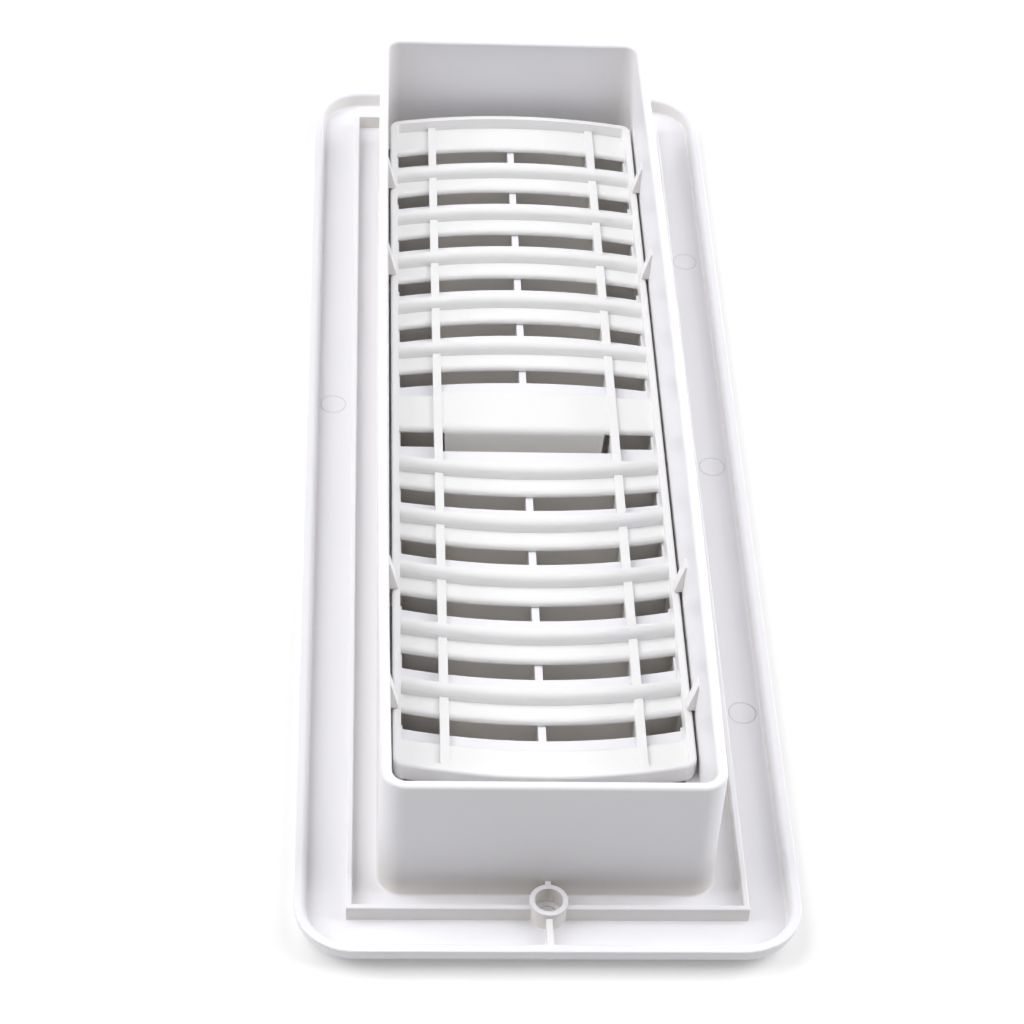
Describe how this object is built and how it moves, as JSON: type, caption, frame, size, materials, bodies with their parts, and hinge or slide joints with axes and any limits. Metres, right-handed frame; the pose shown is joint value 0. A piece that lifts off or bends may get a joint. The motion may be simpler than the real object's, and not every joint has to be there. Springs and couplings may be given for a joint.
{
  "type": "floor register",
  "caption": "White plastic floor register: rimmed face, rows of arced slots, rectangular duct collar and a sliding damper with a thumb tab, shown lying on its face.",
  "frame": {"origin": "centre of the face, which the part lies on", "axes": "+Z away from the face, towards the open end of the collar; +Y along the length, the way the damper opens; +X across the width"},
  "size_m": [0.0996, 0.282, 0.0343],
  "materials": {
    "white_plastic": "satin, bright white, slightly cool",
    "white_plastic_damper": "satin, bright white"
  },
  "bodies": {
    "faceplate": {"faceplate": "white_plastic"},
    "damper": {"damper": "white_plastic_damper"}
  },
  "joints": [
    {"name": "damper_slide", "type": "slide", "parent": "faceplate", "child": "damper", "axis": [0, 1, 0], "range_m": [-0.00555, 0.00289]}
  ]
}
